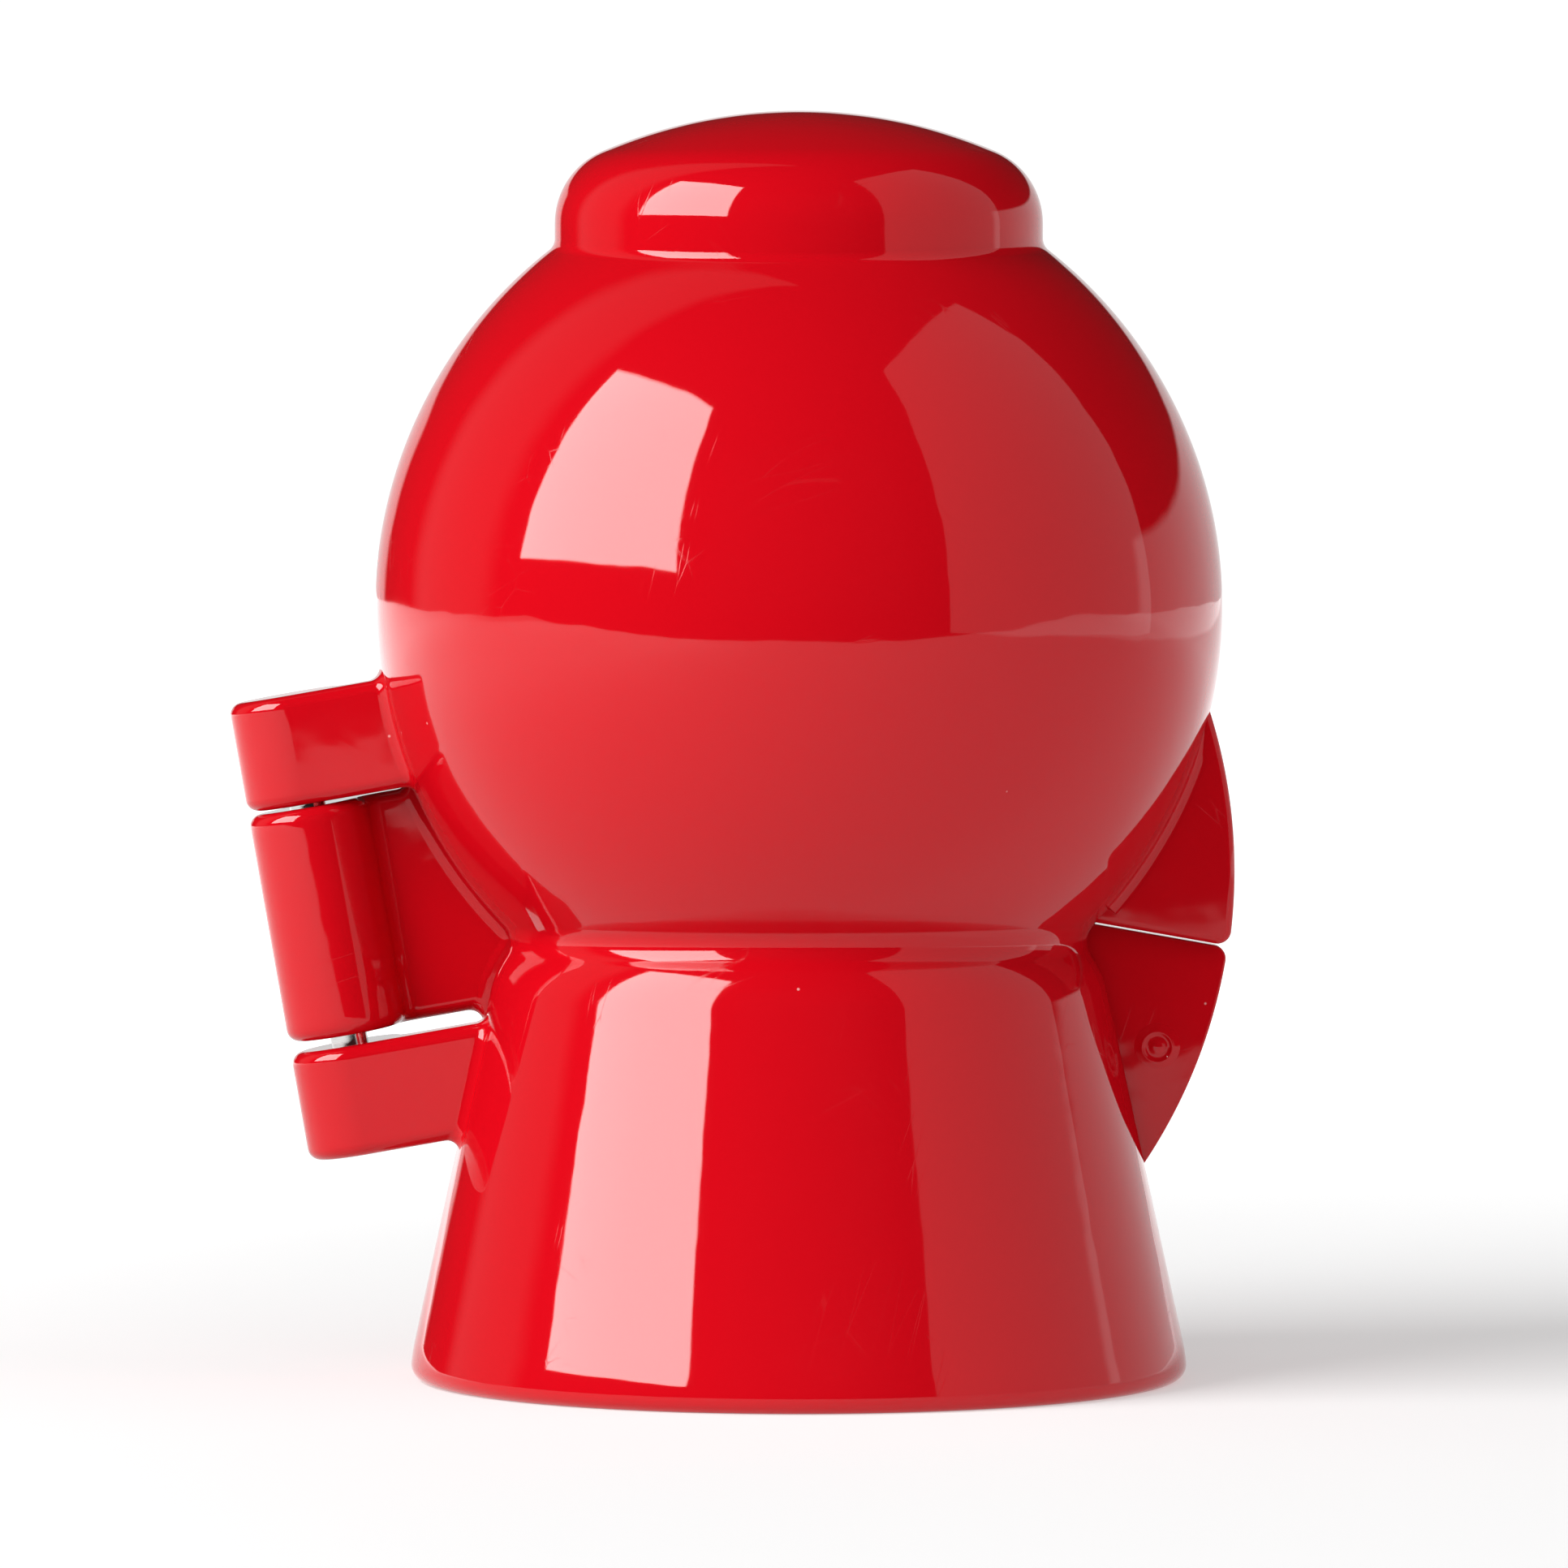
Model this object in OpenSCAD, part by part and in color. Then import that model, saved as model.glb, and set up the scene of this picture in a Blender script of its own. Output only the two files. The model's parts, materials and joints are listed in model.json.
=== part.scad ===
// Egg slicer shaped as a capped ball on a flared foot. Two moulded half shells open like a book on a leaning
// steel pin. The rear shell holds a slotted egg cradle, and the front shell carries the wire frame, whose
// wires swing through the egg into the cradle's slots.
//
// Frame: origin under the body's axis on the resting plane, +Z up, +X towards the thumb tabs, and the
// parting plane is the XZ plane, with the front shell on its -Y side.

/* [Body] */
// Widest diameter of the ball
ball_d = 80; // [79:0.5:82]
// Radius of the ball's side profile, an arc centred a little beyond the body's axis
ball_profile_r = 42.9; // [42:0.1:44]
// Height of the ball's widest level
ball_z = 72.8; // [72:0.1:74]
// Distance by which each shell's half of the ball is set back towards the parting plane, so that the ball is
// a little shallower than it is wide
ball_set_back = 1.6; // [0:0.1:2]
// Wall thickness of both shells
wall = 2.5; // [2:0.1:3]
// Gap between the two shells at the parting plane
parting_gap = 0.2; // [0.1:0.05:0.3]

/* [Cap] */
// Diameter of the cap's upright side
cap_d = 46; // [44:0.5:48]
// Radius of the domed crown, centred on the ball's widest level
crown_r = 46.9; // [46:0.1:48]
// Radius of the rounded edge between crown and side
cap_edge_r = 7.4; // [6:0.1:9]

/* [Foot] */
// Diameter of the flared foot at the resting plane
foot_d = 74.2; // [73:0.1:75]
// Lean of the foot's side from upright, in degrees
foot_taper = 12.3; // [12:0.1:13]
// Height at which the foot's side turns into its rounded shoulder
shoulder_z = 36.8; // [36:0.1:38]
// Radius of the rounded shoulder
shoulder_r = 9.2; // [8:0.1:10]
// Radius of the foot's bottom edge
foot_edge_r = 0.7; // [0.5:0.1:1.2]

/* [Hinge] */
// Distance of the hinge axis from the body's axis, at the hinge's reference height
hinge_reach = 42.5; // [42.4:0.1:43]
// Reference height on the hinge axis, just under the middle barrel
hinge_z = 32.1; // [31:0.1:33]
// Lean of the hinge axis, its top outwards, in degrees
hinge_tilt = 10; // [9:0.5:11]
// Radius of the barrels
barrel_r = 5.7; // [5.5:0.1:6]
// Radius of the hinge pin
pin_r = 1.75; // [1.5:0.05:2]
// Radial clearance between the pin and the rear barrel
pin_clearance = 0.08; // [0.05:0.01:0.1]
// Radial bite of the front knuckles on the pin
pin_bite = 0.02; // [0.01:0.01:0.03]

/* [Thumb tabs] */
// Thickness of each tab, measured from the parting plane
tab_t = 3.3; // [3:0.1:4]
// Radius of the tabs' common outer edge
tab_edge_r = 49.9; // [49:0.1:50.5]
// Height of the centre of that edge
tab_edge_z = 48; // [47:0.5:49]

/* [Slicer] */
// Diameter of the largest egg that fits
egg_d = 45; // [42:1:46]
// Length of that egg
egg_l = 62; // [58:1:63]
// Number of cutting wires
wire_count = 11; // [7:2:11]
// Distance between neighbouring wires
wire_pitch = 4.8; // [4.6:0.1:4.9]
// Diameter of a cutting wire
wire_d = 0.5; // [0.4:0.05:0.6]
// Distance of the wires behind the parting plane when closed
wire_y = 10.2; // [9.5:0.1:10.5]
// Width of the cradle's slots
slot_w = 1.2; // [1:0.1:1.4]

/* [Hidden] */
$fn = 96;
far = 200;
half_gap = parting_gap / 2;

// Body profile, all in the (radius, height) plane
ball_arc_x = ball_d / 2 - ball_profile_r;
cap_r = cap_d / 2;
cap_edge_z = ball_z + sqrt(pow(crown_r - cap_edge_r, 2) - pow(cap_r - cap_edge_r, 2));
foot_normal = [cos(foot_taper), sin(foot_taper)];
shoulder_c = [foot_radius(shoulder_z, 0), shoulder_z] - shoulder_r * foot_normal;

// Hinge stations along its axis, from the reference point
knuckle_h = 10.4;
lower_knuckle_s = -10.8;
barrel_s = 0.6;
barrel_h = 21.8;
upper_knuckle_s = 22.7;
pin_inset = 0.4;
pin_top_s = upper_knuckle_s + knuckle_h - 2.2;
web_set_back = 0.3;
arm_reach = 16;
web_reach = 22;

// Thumb tabs: the line between them falls outwards at the hinge's lean
tab_edge_x = 41.1 - tab_edge_r;
tab_split = [39.8, 41];
tab_split_gap = 0.3;
tab_top_z = 66;
tab_bottom_z = 18;
tab_root_x = 22;

// Wire frame: an oblong ring, straight for twice ring_offset and round at both ends
ring_inner_r = 25.5;
ring_outer_r = 29.5;
ring_offset = 6;
ring_front_y = -7;
ring_mid_r = (ring_inner_r + ring_outer_r) / 2;
frame_back_y = wire_y + 1;
retainer_t = 2;
retainer_back_y = frame_back_y + retainer_t;
wire_groove_w = 0.7;
ferrule_r = 0.8;
ferrule_l = 1.8;
ferrule_room = 0.1;
crimp_bite = 0.02;

// Frame screws, between the second and the first wire from each end
screw_r = 1;
screw_room = 0.1;
head_r = 1.75;
head_h = 1.3;
recess_w = 0.5;
recess_l = 2.2;
recess_depth = 0.8;
frame_screw_z = (wire_count / 2 - 1) * wire_pitch;
frame_screw_x = sqrt(pow(ring_mid_r, 2) - pow(frame_screw_z - ring_offset, 2));
frame_screw_l = 28;
post_r = 3;
pilot_room = 1;

// Egg cradle: an oblong block with the egg's hollow in its face, cored out from behind
egg_r = egg_d / 2;
egg_side_r = (pow(egg_l / 2, 2) + pow(egg_r, 2)) / egg_d;
hollow_back_y = wire_y - 1.2;
egg_y = hollow_back_y - egg_r;
cradle_r = 20.5;
cradle_offset = 8;
cradle_front_y = 0.4;
slot_back_y = wire_y + 3.6;
core_front_y = slot_back_y + 2.5;
cradle_back_y = 20.5;
core_r = 17.5;
lug_x = 23.8;
lug_z = 10;
lug_r = 3.3;
lug_t = 3;
cradle_screw_l = 8;

function foot_radius(z, inset) = foot_d / 2 - inset / cos(foot_taper) - z * tan(foot_taper);
function wire_z(i) = (i - (wire_count - 1) / 2) * wire_pitch;
function ring_half_width(z) = sqrt(pow(ring_mid_r, 2) - pow(max(abs(z) - ring_offset, 0), 2));
function two_digits(i) = str(i < 10 ? "0" : "", i);

shell_red = [0.8, 0.03, 0.04];

// ---- Helpers -------------------------------------------------------------------------------------------

// Everything on one side of the parting plane: side is -1 for the front and 1 for the rear
module half_space(side) {
    translate([-far / 2, side > 0 ? half_gap : -far - half_gap, -far / 2])
        cube([far, far, 2 * far]);
}

// Local frame whose Z runs along the hinge axis, from its reference point
module at_hinge() {
    translate([-hinge_reach, 0, hinge_z]) rotate([0, -hinge_tilt, 0]) children();
}

// Local frame at the ball's centre, with Z parallel to the hinge axis and X along the wires
module at_slicer() {
    translate([0, 0, ball_z]) rotate([0, -hinge_tilt, 0]) children();
}

// A flat outline in the local XZ plane, given thickness from y0 to y1
module plate(y0, y1) {
    translate([0, y1, 0]) rotate([90, 0, 0]) linear_extrude(y1 - y0) children();
}

module oblong(r, offset_z) {
    for (side = [-1, 1]) translate([0, side * offset_z]) circle(r);
    square([2 * r, 2 * offset_z], center = true);
}

// A round bar along +Y
module bar_y(r, y0, y1) {
    translate([0, y1, 0]) rotate([90, 0, 0]) cylinder(r = r, h = y1 - y0);
}

module four_ways(x, z) {
    for (sx = [-1, 1], sz = [-1, 1]) translate([sx * x, 0, sz * z]) children();
}

// A pan-head screw with a cross recess: its head stands behind y, and its shank runs from y by length
module screw(y, length, towards) {
    difference() {
        union() {
            bar_y(screw_r, min(y, y + towards * length), max(y, y + towards * length));
            bar_y(head_r, min(y, y - towards * head_h), max(y, y - towards * head_h));
        }
        for (turn = [0, 90])
            translate([0, y - towards * head_h, 0]) rotate([0, turn, 0])
                cube([recess_l, 2 * recess_depth, recess_w], center = true);
    }
}

// ---- Shells --------------------------------------------------------------------------------------------

module ball_profile(inset) {
    translate([ball_arc_x, ball_z]) circle(ball_profile_r - inset);
}

module cap_profile(inset) {
    edge = [cap_r - cap_edge_r, cap_edge_z - ball_z];
    intersection() {
        translate([0, ball_z]) circle(crown_r - inset);
        translate([0, ball_z]) polygon([[0, 0], 2 * edge, [0, 2 * crown_r]]);
    }
    translate([cap_r - cap_edge_r, cap_edge_z]) circle(cap_edge_r - inset);
    translate([0, ball_z + 22]) square([cap_r - inset, cap_edge_z - ball_z - 22]);
}

module foot_profile(inset) {
    bottom_z = inset;
    edge_z = bottom_z + foot_edge_r;
    edge_c = [foot_radius(edge_z, inset) - foot_edge_r / cos(foot_taper), edge_z];
    polygon([
        [0, bottom_z], [edge_c[0], bottom_z], edge_c + foot_edge_r * foot_normal,
        shoulder_c + (shoulder_r - inset) * foot_normal, shoulder_c, [0, shoulder_c[1]]
    ]);
    translate(edge_c) circle(foot_edge_r);
    translate(shoulder_c) circle(shoulder_r - inset);
    square_top = shoulder_c[1] + shoulder_r - inset;
    translate([0, shoulder_c[1] - 1]) square([shoulder_c[0], square_top - shoulder_c[1] + 1]);
}

// The whole body as the shell on one side has it: side is -1 for the front and 1 for the rear
module body_solid(inset, side) {
    mirror([0, side > 0 ? 1 : 0, 0]) {
        translate([0, ball_set_back, 0]) rotate_extrude() intersection() {
            ball_profile(inset);
            square([far, far]);
        }
        rotate_extrude() intersection() {
            union() {
                cap_profile(inset);
                foot_profile(inset);
            }
            square([far, far]);
        }
    }
}

module tab_outline(upper) {
    intersection() {
        translate([tab_edge_x, tab_edge_z]) circle(tab_edge_r);
        translate([tab_root_x, tab_bottom_z]) square([far, tab_top_z - tab_bottom_z]);
        translate(tab_split) rotate(-hinge_tilt)
            translate([-far / 2, upper ? tab_split_gap / 2 : -far - tab_split_gap / 2]) square([far, far]);
    }
}

module barrel(s, h) {
    translate([0, 0, s]) cylinder(r = barrel_r, h = h);
}

module front_knuckles() {
    at_hinge() for (s = [lower_knuckle_s, upper_knuckle_s]) {
        barrel(s, knuckle_h);
        translate([0, -barrel_r, s]) cube([arm_reach, barrel_r - half_gap, knuckle_h]);
    }
}

module rear_barrel() {
    at_hinge() {
        barrel(barrel_s, barrel_h);
        translate([0, web_set_back, barrel_s]) cube([web_reach, barrel_r - web_set_back, barrel_h]);
    }
}

module front_shell() {
    color(shell_red) difference() {
        union() {
            difference() {
                union() {
                    intersection() {
                        body_solid(0, -1);
                        half_space(-1);
                    }
                    front_knuckles();
                    plate(-tab_t, -half_gap) tab_outline(true);
                }
                body_solid(wall, -1);
            }
            intersection() {
                at_slicer() four_ways(frame_screw_x, frame_screw_z) bar_y(post_r, -far / 4, ring_front_y);
                body_solid(wall / 2, -1);
            }
        }
        at_hinge() translate([0, 0, lower_knuckle_s - 1])
            cylinder(r = pin_r - pin_bite, h = pin_top_s - lower_knuckle_s + 1);
        at_slicer() four_ways(frame_screw_x, frame_screw_z)
            bar_y(screw_r, retainer_back_y - frame_screw_l - pilot_room, 0);
    }
}

module rear_shell() {
    color(shell_red) difference() {
        union() {
            difference() {
                union() {
                    intersection() {
                        body_solid(0, 1);
                        half_space(1);
                    }
                    rear_barrel();
                    plate(half_gap, tab_t) tab_outline(false);
                }
                body_solid(wall, 1);
            }
            intersection() {
                at_slicer() four_ways(lug_x, lug_z) bar_y(post_r, cradle_back_y, far / 4);
                body_solid(wall / 2, 1);
            }
        }
        at_hinge() translate([0, 0, barrel_s - 1])
            cylinder(r = pin_r + pin_clearance, h = barrel_h + 2);
        at_slicer() four_ways(lug_x, lug_z)
            bar_y(screw_r, 0, cradle_back_y - lug_t + cradle_screw_l + pilot_room);
    }
}

module hinge_pin() {
    color("silver") at_hinge() translate([0, 0, lower_knuckle_s + pin_inset])
        cylinder(r = pin_r, h = pin_top_s - lower_knuckle_s - pin_inset);
}

// ---- Wire frame, on the front shell --------------------------------------------------------------------

module ring(y0, y1) {
    plate(y0, y1) difference() {
        oblong(ring_outer_r, ring_offset);
        oblong(ring_inner_r, ring_offset);
    }
}

// Room for one ferrule at each end of a wire, across the joint of frame and retaining ring
module ferrule_pockets() {
    for (i = [0:wire_count - 1], side = [-1, 1])
        translate([side * ring_half_width(wire_z(i)), wire_y, wire_z(i)])
            cube([ferrule_l + 2 * ferrule_room, 2 * (ferrule_r + ferrule_room), 2 * (ferrule_r + ferrule_room)],
                 center = true);
}

module wire_frame() {
    color("gainsboro") at_slicer() difference() {
        ring(ring_front_y, frame_back_y);
        ferrule_pockets();
        for (i = [0:wire_count - 1])
            translate([-ring_half_width(wire_z(i)), wire_y - wire_groove_w / 2, wire_z(i) - wire_groove_w / 2])
                cube([2 * ring_half_width(wire_z(i)), far, wire_groove_w]);
        four_ways(frame_screw_x, frame_screw_z) bar_y(screw_r + screw_room, -far, far);
    }
}

module retaining_ring() {
    color("silver") at_slicer() difference() {
        ring(frame_back_y, retainer_back_y);
        four_ways(frame_screw_x, frame_screw_z) bar_y(screw_r + screw_room, 0, far);
    }
}

module cutting_wire(i) {
    reach = ring_half_width(wire_z(i)) + ferrule_l / 2;
    color("silver") at_slicer() translate([-reach, wire_y, wire_z(i)])
        rotate([0, 90, 0]) cylinder(d = wire_d, h = 2 * reach);
}

module wire_ferrules() {
    color("gray") at_slicer() for (i = [0:wire_count - 1], side = [-1, 1])
        translate([side * ring_half_width(wire_z(i)), wire_y, wire_z(i)]) rotate([0, 90, 0])
            difference() {
                cylinder(r = ferrule_r, h = ferrule_l, center = true);
                cylinder(r = wire_d / 2 - crimp_bite, h = 2 * ferrule_l, center = true);
            }
}

module frame_screws() {
    color("silver") at_slicer() four_ways(frame_screw_x, frame_screw_z)
        screw(retainer_back_y, frame_screw_l, -1);
}

// ---- Cradle, in the rear shell -------------------------------------------------------------------------

module egg_hollow() {
    translate([0, egg_y, 0]) rotate_extrude() intersection() {
        translate([egg_r - egg_side_r, 0]) circle(egg_side_r);
        translate([0, -far / 2]) square([far, far]);
    }
}

module egg_cradle() {
    color("ivory") at_slicer() difference() {
        union() {
            plate(cradle_front_y, cradle_back_y) oblong(cradle_r, cradle_offset);
            for (sz = [-1, 1]) translate([0, 0, sz * lug_z]) plate(cradle_back_y - lug_t, cradle_back_y) {
                for (sx = [-1, 1]) translate([sx * lug_x, 0]) circle(lug_r);
                square([2 * lug_x, 2 * lug_r], center = true);
            }
        }
        egg_hollow();
        for (i = [0:wire_count - 1])
            translate([-far / 2, cradle_front_y - 1, wire_z(i) - slot_w / 2])
                cube([far, slot_back_y - cradle_front_y + 1, slot_w]);
        plate(core_front_y, far) oblong(core_r, cradle_offset);
        four_ways(lug_x, lug_z) bar_y(screw_r + screw_room, 0, far);
    }
}

module cradle_screws() {
    color("silver") at_slicer() four_ways(lug_x, lug_z) screw(cradle_back_y - lug_t, cradle_screw_l, 1);
}

front_shell();
rear_shell();
hinge_pin();
wire_frame();
retaining_ring();
wire_ferrules();
frame_screws();
egg_cradle();
cradle_screws();
for (i = [1:wire_count])
    cutting_wire(i - 1);
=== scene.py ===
import json
import math

import bmesh
import bpy
from mathutils import Matrix, Vector


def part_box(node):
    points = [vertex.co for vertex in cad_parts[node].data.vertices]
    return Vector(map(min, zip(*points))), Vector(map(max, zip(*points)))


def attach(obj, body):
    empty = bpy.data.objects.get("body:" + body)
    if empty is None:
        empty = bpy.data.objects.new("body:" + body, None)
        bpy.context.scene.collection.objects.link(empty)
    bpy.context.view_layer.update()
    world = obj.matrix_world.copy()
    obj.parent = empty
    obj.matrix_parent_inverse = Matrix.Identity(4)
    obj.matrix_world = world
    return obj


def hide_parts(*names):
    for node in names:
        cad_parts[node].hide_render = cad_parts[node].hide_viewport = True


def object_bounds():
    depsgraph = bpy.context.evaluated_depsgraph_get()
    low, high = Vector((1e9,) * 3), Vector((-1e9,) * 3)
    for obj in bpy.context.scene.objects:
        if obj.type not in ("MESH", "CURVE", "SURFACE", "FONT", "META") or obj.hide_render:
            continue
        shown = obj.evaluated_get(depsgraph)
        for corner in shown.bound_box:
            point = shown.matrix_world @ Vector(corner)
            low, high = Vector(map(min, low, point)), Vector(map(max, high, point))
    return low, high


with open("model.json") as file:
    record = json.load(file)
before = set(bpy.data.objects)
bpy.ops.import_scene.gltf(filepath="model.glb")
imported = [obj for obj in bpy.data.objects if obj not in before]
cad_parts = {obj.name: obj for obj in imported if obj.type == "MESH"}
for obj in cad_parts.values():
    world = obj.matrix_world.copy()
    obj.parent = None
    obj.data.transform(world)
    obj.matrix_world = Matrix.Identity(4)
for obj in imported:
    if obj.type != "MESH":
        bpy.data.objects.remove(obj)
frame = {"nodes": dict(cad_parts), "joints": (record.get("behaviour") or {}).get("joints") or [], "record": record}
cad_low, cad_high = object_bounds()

# ---- Camera ---------------------------------------------------------------------------------------
# A long lens about a metre away, level with the base of the cap and aimed down at the middle of the
# slicer, so that the foot shows its round front edge.

CAMERA_AWAY = 1.095
CAMERA_HEIGHT = 0.106
CAMERA_SIDE = -0.0014
CAMERA_PITCH = math.radians(2.604)
LENS_MM = 266.46
SENSOR_MM = 36.0

camera_data = bpy.data.cameras.new("camera")
camera_data.sensor_width = SENSOR_MM
camera_data.lens = LENS_MM
camera = bpy.data.objects.new("camera", camera_data)
camera.location = (CAMERA_SIDE, -CAMERA_AWAY, CAMERA_HEIGHT)
camera.rotation_euler = (math.pi / 2 - CAMERA_PITCH, 0, 0)
bpy.context.scene.collection.objects.link(camera)
bpy.context.scene.camera = camera
bpy.context.scene.view_settings.view_transform = "Standard"


# ---- Studio ---------------------------------------------------------------------------------------
# A pale table that ends in front of the slicer, a white background behind it and a dim room in front.
# An upright softbox stands at the left and a tall white panel at the right, with a weak fill between
# them that only matt reflection sees. The table glows, to stay white as far as it reaches, and its glow
# is painted light: dimmer near the slicer, stronger behind it, and stronger again towards the softbox
# at the left and far out at the right beside the panel.

TABLE_FRONT = -0.62
TABLE_REACH = 3.0
TABLE_GREY = 0.55
GLOW_NEAR = 0.43
GLOW_FAR = 1.05
GLOW_LEFT = 0.6
GLOW_RIGHT = 0.5
GLOW_MOST = 2.0
GLOW_DEPTHS = (0.0, 0.7)
GLOW_LEFT_PLACES = (-0.4, 0.0)
GLOW_RIGHT_PLACES = (0.7, 0.8)
KEY_AZIMUTH = -57.3
KEY_AWAY = 1.8
KEY_WIDTH = 1.62
KEY_LOW, KEY_HIGH = 0.41, 2.46
KEY_RADIANCE = 8.2
KEY_GLOSS_BEHIND = 0.03
KEY_GLOSS_RADIANCE = 6.4
SOFT_FILL_AZIMUTH = 2.0
SOFT_FILL_AWAY = 1.3
SOFT_FILL_WIDTH = 1.3
SOFT_FILL_LOW, SOFT_FILL_HIGH = 0.1, 1.2
SOFT_FILL_RADIANCE = 1.45
PANEL_AZIMUTH = 74.0
PANEL_AWAY = 0.8
PANEL_WIDTH = 1.08
PANEL_HIGH = 1.7
PANEL_RADIANCE = 0.75
BACK_WALL_WHITE = 0.82
BACK_WALL_STARTS, BACK_WALL_ENDS = (-28.5, -24.5), (73, 77)
BACK_WALL_TOP = (0.16, 0.19)
LEFT_WALL_WHITE = 0.3
LEFT_WALL_STARTS, LEFT_WALL_ENDS = (-92, -82), (-58, -48)
UNDER_TABLE = (-0.125, -0.115)
ROOM_DIM, ROOM_WHITE = 0.02, 1.05


class Flow:
    """One socket of a node tree, with Python's operators standing for Math nodes. node() makes any
    other kind of node, its settings first and then its sockets, by name or by number."""

    def __init__(self, tree, socket=None):
        self.tree = tree
        self.socket = socket

    def node(self, kind, settings=None, sockets=None, out=0):
        made = self.tree.nodes.new(kind)
        for key, value in (settings or {}).items():
            setattr(made, key, value)
        for key, value in (sockets or {}).items():
            if isinstance(value, Flow):
                self.tree.links.new(value.socket, made.inputs[key])
            else:
                made.inputs[key].default_value = value
        return Flow(self.tree, made.outputs[out])

    def math(self, operation, *values):
        return self.node("ShaderNodeMath", {"operation": operation}, dict(enumerate(values)))

    def __add__(self, other): return self.math("ADD", self, other)
    def __radd__(self, other): return self.math("ADD", other, self)
    def __sub__(self, other): return self.math("SUBTRACT", self, other)
    def __rsub__(self, other): return self.math("SUBTRACT", other, self)
    def __mul__(self, other): return self.math("MULTIPLY", self, other)
    def __rmul__(self, other): return self.math("MULTIPLY", other, self)
    def __gt__(self, other): return self.math("GREATER_THAN", self, other)

    def fade(self, low, high):
        """0 at low and 1 at high, eased at both ends."""
        return self.node("ShaderNodeMapRange", {"interpolation_type": "SMOOTHSTEP"},
                         {0: self, 1: low, 2: high, 3: 0.0, 4: 1.0})

    def tint(self, low_colour, high_colour):
        """A mix of two colours, by this value."""
        return self.node("ShaderNodeMix", {"data_type": "RGBA"},
                         {0: self, 6: (*low_colour, 1), 7: (*high_colour, 1)}, out=2)


def new_material(name):
    """A material with a Principled shader: the material, the shader, and a Flow to build on."""
    material = bpy.data.materials.new(name)
    material.use_nodes = True
    tree = material.node_tree
    shader = next(n for n in tree.nodes if n.type == "BSDF_PRINCIPLED")
    return material, shader, Flow(tree)


floor_bm = bmesh.new()
bmesh.ops.create_grid(floor_bm, x_segments=1, y_segments=1, size=1)
table_half_depth = (TABLE_REACH - TABLE_FRONT) / 2
bmesh.ops.scale(floor_bm, verts=floor_bm.verts, vec=(TABLE_REACH, table_half_depth, 1))
bmesh.ops.translate(floor_bm, verts=floor_bm.verts, vec=(0, TABLE_FRONT + table_half_depth, 0))
floor_mesh = bpy.data.meshes.new("floor")
floor_bm.to_mesh(floor_mesh)
floor_bm.free()
floor_material, floor_shader, floor_flow = new_material("floor_pale")
floor_shader.inputs["Base Color"].default_value = (TABLE_GREY, TABLE_GREY, TABLE_GREY, 1)
floor_shader.inputs["Roughness"].default_value = 1.0
floor_shader.inputs["Specular IOR Level"].default_value = 0.0
floor_shader.inputs["Emission Strength"].default_value = 1.0
floor_place = floor_flow.node("ShaderNodeTexCoord", out="Object")
floor_x = floor_flow.node("ShaderNodeSeparateXYZ", {}, {0: floor_place})
floor_y = floor_flow.node("ShaderNodeSeparateXYZ", {}, {0: floor_place}, out=1)
# Painted light on the table: a weaker glow near the slicer, a painted pool of the softbox's light to the left, and
# painted light beside the panel far to the right.
floor_painted_glow = GLOW_NEAR + floor_y.fade(*GLOW_DEPTHS) * (GLOW_FAR - GLOW_NEAR)
floor_painted_glow = floor_painted_glow + (1 - floor_x.fade(*GLOW_LEFT_PLACES)) * GLOW_LEFT
floor_painted_glow = floor_painted_glow + floor_x.fade(*GLOW_RIGHT_PLACES) * GLOW_RIGHT
floor_painted_glow = (floor_painted_glow * (1 / GLOW_MOST)).tint([0.0] * 3, [GLOW_MOST] * 3)
floor_flow.tree.links.new(floor_painted_glow.socket, floor_shader.inputs["Emission Color"])
floor_mesh.materials.append(floor_material)
floor = bpy.data.objects.new("floor", floor_mesh)
bpy.context.scene.collection.objects.link(floor)


def upright_light(name, azimuth, away, width, low, high, radiance):
    """A rectangular light that stands upright and faces the slicer. Its radiance is what a glossy
    surface reflects, and its azimuth is 0 on the camera's side and 90 on the +X side."""
    turn = math.radians(azimuth)
    data = bpy.data.lights.new(name, "AREA")
    data.shape = "RECTANGLE"
    data.size = width
    data.size_y = high - low
    data.energy = radiance * math.pi * width * (high - low)
    light = bpy.data.objects.new(name, data)
    light.location = (away * math.sin(turn), -away * math.cos(turn), (low + high) / 2)
    light.rotation_euler = (math.pi / 2, 0, turn)
    light.visible_camera = False
    bpy.context.scene.collection.objects.link(light)
    return light


upright_light("key_softbox", KEY_AZIMUTH, KEY_AWAY, KEY_WIDTH, KEY_LOW, KEY_HIGH, KEY_RADIANCE)
key_gloss = upright_light("key_gloss", KEY_AZIMUTH, KEY_AWAY + KEY_GLOSS_BEHIND, KEY_WIDTH, KEY_LOW,
                          KEY_HIGH, KEY_GLOSS_RADIANCE)
key_gloss.visible_diffuse = False
upright_light("fill_panel", PANEL_AZIMUTH, PANEL_AWAY, PANEL_WIDTH, 0.0, PANEL_HIGH, PANEL_RADIANCE)
soft_fill = upright_light("soft_fill", SOFT_FILL_AZIMUTH, SOFT_FILL_AWAY, SOFT_FILL_WIDTH,
                          SOFT_FILL_LOW, SOFT_FILL_HIGH, SOFT_FILL_RADIANCE)
soft_fill.visible_glossy = False

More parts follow.
